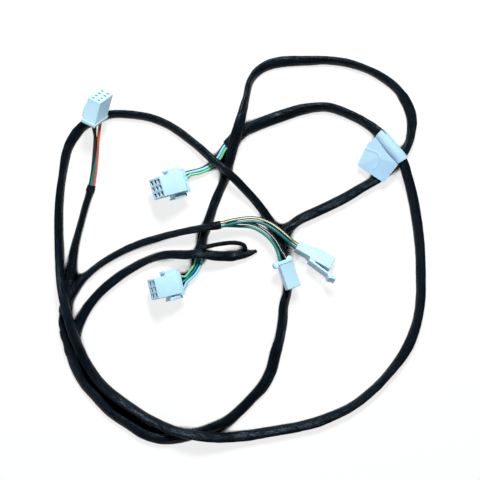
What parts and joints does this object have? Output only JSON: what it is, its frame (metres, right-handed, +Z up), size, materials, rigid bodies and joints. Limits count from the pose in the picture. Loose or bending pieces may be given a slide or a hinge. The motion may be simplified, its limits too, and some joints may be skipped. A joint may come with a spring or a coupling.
{
  "type": "wiring harness",
  "caption": "Small wiring harness of black sleeved branches with taped junctions, white plug housings on coloured leads, a wrapped label and a paper flag, lying loose.",
  "frame": {"origin": "on the surface that the harness lies on, under the middle of its outline", "axes": "+Z up from the surface, +Y towards the top loop and the eight-way plug's front, +X towards the label"},
  "size_m": [0.2666, 0.2788, 0.0366],
  "materials": {
    "sleeve_black": "flattened black adhesive tape sleeve with a soft sheen",
    "tape_black": "black tape",
    "nylon_natural": "natural white moulded nylon",
    "paper_white": "white label film, blank",
    "tin": "tinned crimp terminal",
    "lead_black": "black lead insulation",
    "lead_orange": "orange lead insulation",
    "lead_teal": "teal lead insulation",
    "lead_light_green": "light green lead insulation",
    "lead_light_blue": "light blue lead insulation",
    "lead_dark_green": "dark green lead insulation",
    "lead_brown": "dark brown lead insulation"
  },
  "bodies": {
    "root": {"outer_loop_sleeve": "sleeve_black", "upper_right_sleeve": "sleeve_black", "top_loop_sleeve": "sleeve_black", "trunk_sleeve": "sleeve_black", "trunk_upper_sleeve": "sleeve_black", "eight_way_branch_sleeve": "sleeve_black", "two_way_branch_sleeve": "sleeve_black", "loose_branch_sleeve": "sleeve_black", "left_junction": "tape_black", "loose_branch_junction": "tape_black", "centre_junction": "tape_black", "eight_way_end_tape": "tape_black", "nine_way_end_tape": "tape_black", "six_way_end_tape": "tape_black", "two_way_end_tape": "tape_black", "loose_end_tape": "tape_black", "folded_lead": "tape_black", "eight_way_plug": "nylon_natural", "nine_way_plug": "nylon_natural", "six_way_plug": "nylon_natural", "two_way_plug": "nylon_natural", "two_way_socket": "nylon_natural", "eight_way_black_lead": "lead_black", "eight_way_black_terminal": "tin", "eight_way_orange_lead": "lead_orange", "eight_way_orange_terminal": "tin", "eight_way_teal_lead": "lead_teal", "eight_way_teal_terminal": "tin", "nine_way_black_lead": "lead_black", "nine_way_black_terminal": "tin", "nine_way_light_blue_lead": "lead_light_blue", "nine_way_light_blue_terminal": "tin", "nine_way_dark_green_lead": "lead_dark_green", "nine_way_dark_green_terminal": "tin", "nine_way_light_green_lead": "lead_light_green", "nine_way_light_green_terminal": "tin", "six_way_light_green_lead": "lead_light_green", "six_way_light_green_terminal": "tin", "six_way_dark_green_lead": "lead_dark_green", "six_way_dark_green_terminal": "tin", "six_way_teal_lead": "lead_teal", "six_way_teal_terminal": "tin", "six_way_black_lead": "lead_black", "six_way_black_terminal": "tin", "six_way_light_blue_lead": "lead_light_blue", "six_way_light_blue_terminal": "tin", "six_way_brown_lead": "lead_brown", "six_way_brown_terminal": "tin", "two_way_black_lead": "lead_black", "two_way_black_terminal": "tin", "two_way_teal_lead": "lead_teal", "two_way_teal_terminal": "tin", "socket_black_lead": "lead_black", "socket_black_terminal": "tin", "socket_teal_lead": "lead_teal", "socket_teal_terminal": "tin", "printed_label": "paper_white", "paper_flag": "paper_white"}
  },
  "joints": []
}
